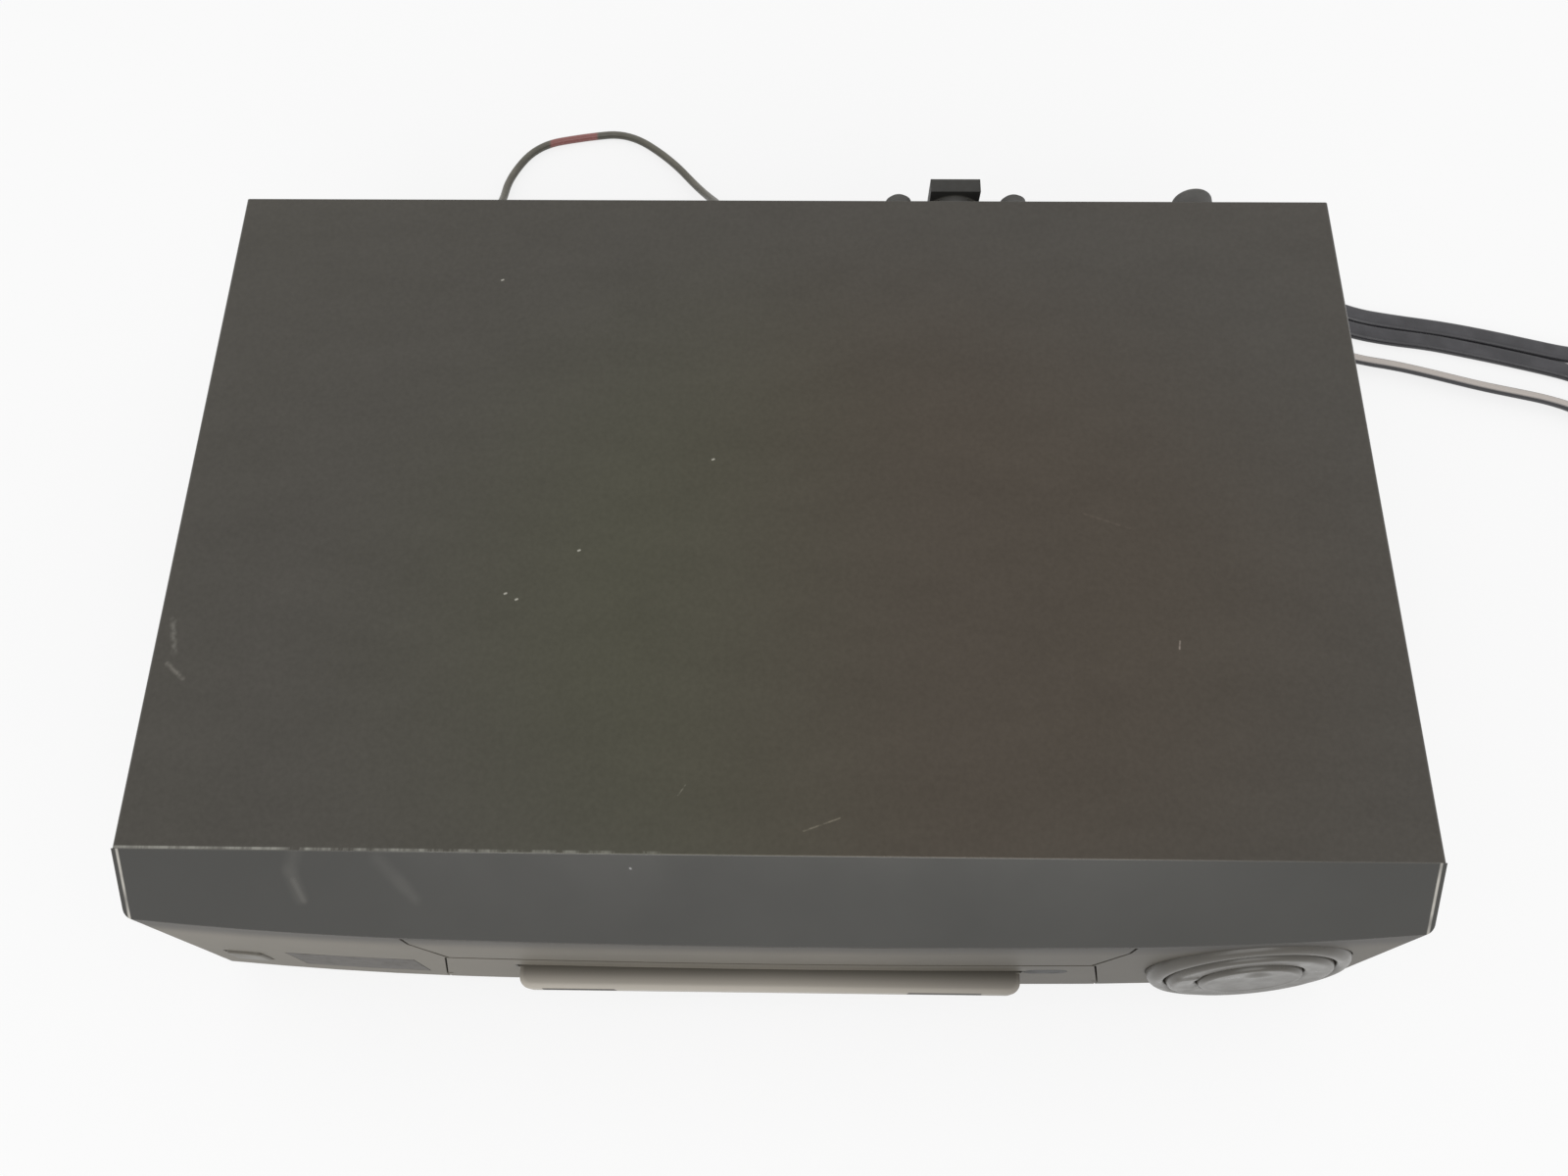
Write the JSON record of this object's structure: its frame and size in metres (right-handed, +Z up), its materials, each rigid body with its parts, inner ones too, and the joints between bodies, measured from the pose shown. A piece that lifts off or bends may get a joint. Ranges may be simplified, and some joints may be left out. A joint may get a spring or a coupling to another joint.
{
  "type": "vhs video cassette recorder",
  "caption": "Front-loading VHS video cassette recorder with black steel cover, leaning grey fascia, shuttle and jog dial, flip-down control door, tape deck, mains lead and patch lead.",
  "frame": {"origin": "on the surface the feet stand on, under the middle of the recorder", "axes": "+X to the right seen from the front, front faces -Y, +Z up"},
  "size_m": [0.6072, 0.3731, 0.094],
  "materials": {
    "cover_paint": "satin black paint, fine texture",
    "fascia_plastic": "satin dark grey plastic",
    "key_plastic": "satin grey plastic",
    "smoked_window": "dark glossy window",
    "soft_rubber": "matt rubber",
    "zinc_steel": "zinc-plated sheet",
    "black_steel": "black painted sheet",
    "bright_metal": "plated",
    "drum_metal": "turned aluminium",
    "black_plastic": "black plastic",
    "white_plastic": "acetal plastic",
    "circuit_board": "phenolic board with parts",
    "motor_steel": "pressed steel and laminations",
    "lead_sleeve": "black PVC",
    "patch_sleeve": "olive grey PVC"
  },
  "bodies": {
    "case": {"aerial_block": "black_plastic", "aerial_sockets": "bright_metal", "av_jacks": "black_plastic", "bottom_chassis": "zinc_steel", "case_screws": "black_steel", "control_panel": "fascia_plastic", "deck_plate": "zinc_steel", "dial_bezel": "fascia_plastic", "display_window": "smoked_window", "flap_spring": "bright_metal", "front_board": "circuit_board", "front_fascia": "fascia_plastic", "heat_sink": "drum_metal", "loader_brackets": "zinc_steel", "loading_motor": "motor_steel", "lower_drum": "drum_metal", "main_board": "circuit_board", "mains_coil": "lead_sleeve", "mains_lead": "lead_sleeve", "mains_plug": "black_plastic", "patch_lead": "patch_sleeve", "patch_plugs": "black_plastic", "power_board": "circuit_board", "rear_panel": "black_steel", "reel_belt": "soft_rubber", "rf_modulator": "zinc_steel", "rubber_feet": "soft_rubber", "strain_relief": "black_plastic", "tape_heads": "bright_metal", "top_cover": "cover_paint", "transformer": "motor_steel"},
    "flap": {"cassette_flap": "fascia_plastic"},
    "door": {"control_door": "fascia_plastic", "grip_pads": "soft_rubber", "sensor_window": "smoked_window"},
    "shuttle": {"shuttle_ring": "key_plastic"},
    "jog": {"jog_dial": "key_plastic"},
    "power_key": {"power_key": "key_plastic"},
    "channel_switch": {"channel_switch": "key_plastic"},
    "drum": {"upper_drum": "drum_metal"},
    "capstan": {"capstan": "bright_metal"},
    "supply_reel": {"supply_reel": "white_plastic"},
    "takeup_reel": {"takeup_reel": "white_plastic"},
    "clutch": {"clutch_pulley": "white_plastic"},
    "idler_arm": {"idler_arm": "zinc_steel"},
    "idler_wheel": {"idler_wheel": "soft_rubber"},
    "pinch_arm": {"pinch_arm": "zinc_steel"},
    "pinch_roller": {"pinch_roller": "soft_rubber"},
    "supply_guide": {"supply_guide": "bright_metal"},
    "takeup_guide": {"takeup_guide": "bright_metal"},
    "tension_arm": {"tension_arm": "zinc_steel"},
    "cam_gear": {"cam_gear": "white_plastic"},
    "worm": {"loading_worm": "white_plastic"},
    "carriage": {"loader_carriage": "zinc_steel"},
    "holder": {"cassette_holder": "zinc_steel"},
    "eject_key": {"eject_key": "key_plastic"},
    "rewind_key": {"rewind_key": "key_plastic"},
    "play_key": {"play_key": "key_plastic"},
    "forward_key": {"forward_key": "key_plastic"},
    "stop_key": {"stop_key": "key_plastic"}
  },
  "joints": [
    {"name": "flap_hinge", "type": "hinge", "parent": "case", "child": "flap", "pos_m": [0, -0.12287, 0.0716], "axis": [1, 0, 0], "range_deg": [0, 80], "stiffness_Nm_per_rad": 0.01, "springref_deg": -17.19},
    {"name": "door_hinge", "type": "hinge", "parent": "case", "child": "door", "pos_m": [0, -0.12892, 0.0122], "axis": [1, 0, 0], "range_deg": [0, 85]},
    {"name": "shuttle_turn", "type": "hinge", "parent": "case", "child": "shuttle", "pos_m": [0.149, -0.13162, 0.0405], "axis": [0.0518, -0.9876, 0.1483], "range_deg": [-70, 70], "stiffness_Nm_per_rad": 0.02},
    {"name": "jog_spin", "type": "hinge", "parent": "case", "child": "jog", "pos_m": [0.149, -0.13162, 0.0405], "axis": [0.0518, -0.9876, 0.1483], "continuous": true},
    {"name": "eject_press", "type": "slide", "parent": "case", "child": "eject_key", "axis": [0, 1, 0], "range_m": [0, 0.0008], "stiffness_N_per_m": 600},
    {"name": "rewind_press", "type": "slide", "parent": "case", "child": "rewind_key", "axis": [0, 1, 0], "range_m": [0, 0.0008], "stiffness_N_per_m": 600},
    {"name": "play_press", "type": "slide", "parent": "case", "child": "play_key", "axis": [0, 1, 0], "range_m": [0, 0.0008], "stiffness_N_per_m": 600},
    {"name": "forward_press", "type": "slide", "parent": "case", "child": "forward_key", "axis": [0, 1, 0], "range_m": [0, 0.0008], "stiffness_N_per_m": 600},
    {"name": "stop_press", "type": "slide", "parent": "case", "child": "stop_key", "axis": [0, 1, 0], "range_m": [0, 0.0008], "stiffness_N_per_m": 600},
    {"name": "power_press", "type": "slide", "parent": "case", "child": "power_key", "axis": [0, 1, 0], "range_m": [0, 0.0008], "stiffness_N_per_m": 600},
    {"name": "channel_slide", "type": "slide", "parent": "case", "child": "channel_switch", "axis": [1, 0, 0], "range_m": [0, 0.004]},
    {"name": "drum_spin", "type": "hinge", "parent": "case", "child": "drum", "pos_m": [-0.004, 0.052, 0.031], "axis": [0, -0.0958, 0.9954], "continuous": true},
    {"name": "capstan_spin", "type": "hinge", "parent": "case", "child": "capstan", "pos_m": [0.05801, 0.026, 0.02], "axis": [0, 0, 1], "continuous": true},
    {"name": "supply_reel_spin", "type": "hinge", "parent": "case", "child": "supply_reel", "pos_m": [-0.05, -0.045, 0.03], "axis": [0, 0, 1], "continuous": true},
    {"name": "takeup_reel_spin", "type": "hinge", "parent": "case", "child": "takeup_reel", "pos_m": [0.042, -0.045, 0.03], "axis": [0, 0, 1], "continuous": true},
    {"name": "clutch_spin", "type": "hinge", "parent": "case", "child": "clutch", "pos_m": [-0.004, -0.084, 0.022], "axis": [0, 0, 1], "continuous": true},
    {"name": "idler_swing", "type": "hinge", "parent": "case", "child": "idler_arm", "pos_m": [-0.004, -0.084, 0.026], "axis": [0, 0, 1], "range_deg": [-4, 4]},
    {"name": "idler_spin", "type": "hinge", "parent": "idler_arm", "child": "idler_wheel", "pos_m": [-0.004, -0.0543, 0.028], "axis": [0, 0, 1], "continuous": true},
    {"name": "pinch_swing", "type": "hinge", "parent": "case", "child": "pinch_arm", "pos_m": [0.078, 0.044, 0.028], "axis": [0, 0, 1], "range_deg": [-25, 0]},
    {"name": "pinch_roller_spin", "type": "hinge", "parent": "pinch_arm", "child": "pinch_roller", "pos_m": [0.0738, 0.01482, 0.038], "axis": [0, 0, 1], "continuous": true},
    {"name": "supply_guide_slide", "type": "slide", "parent": "case", "child": "supply_guide", "axis": [-0.225, 0.9744, 0], "range_m": [0, 0.05337]},
    {"name": "takeup_guide_slide", "type": "slide", "parent": "case", "child": "takeup_guide", "axis": [0.225, 0.9744, 0], "range_m": [0, 0.05337]},
    {"name": "tension_swing", "type": "hinge", "parent": "case", "child": "tension_arm", "pos_m": [-0.078, 0.008, 0.028], "axis": [0, 0, 1], "range_deg": [-15, 8], "stiffness_Nm_per_rad": 0.005},
    {"name": "cam_turn", "type": "hinge", "parent": "case", "child": "cam_gear", "pos_m": [-0.08, 0.058, 0.032], "axis": [0, 0, 1], "range_deg": [0, 270]},
    {"name": "worm_turn", "type": "hinge", "parent": "case", "child": "worm", "pos_m": [-0.08, 0.0802, 0.038], "axis": [1, 0, 0], "range_deg": [0, 3240]},
    {"name": "carriage_slide", "type": "slide", "parent": "case", "child": "carriage", "axis": [0, 1, 0], "range_m": [0, 0.062]},
    {"name": "holder_drop", "type": "slide", "parent": "carriage", "child": "holder", "axis": [0, 0, -1], "range_m": [0, 0.02]}
  ],
  "couplings": [
    {"joint": "takeup_guide_slide", "follows": "supply_guide_slide", "ratio": 1},
    {"joint": "cam_turn", "follows": "supply_guide_slide", "rad_per_m": 88.299},
    {"joint": "worm_turn", "follows": "supply_guide_slide", "rad_per_m": 1059.6},
    {"joint": "clutch_spin", "follows": "capstan_spin", "ratio": 0.64286},
    {"joint": "idler_spin", "follows": "capstan_spin", "ratio": -0.13118}
  ]
}
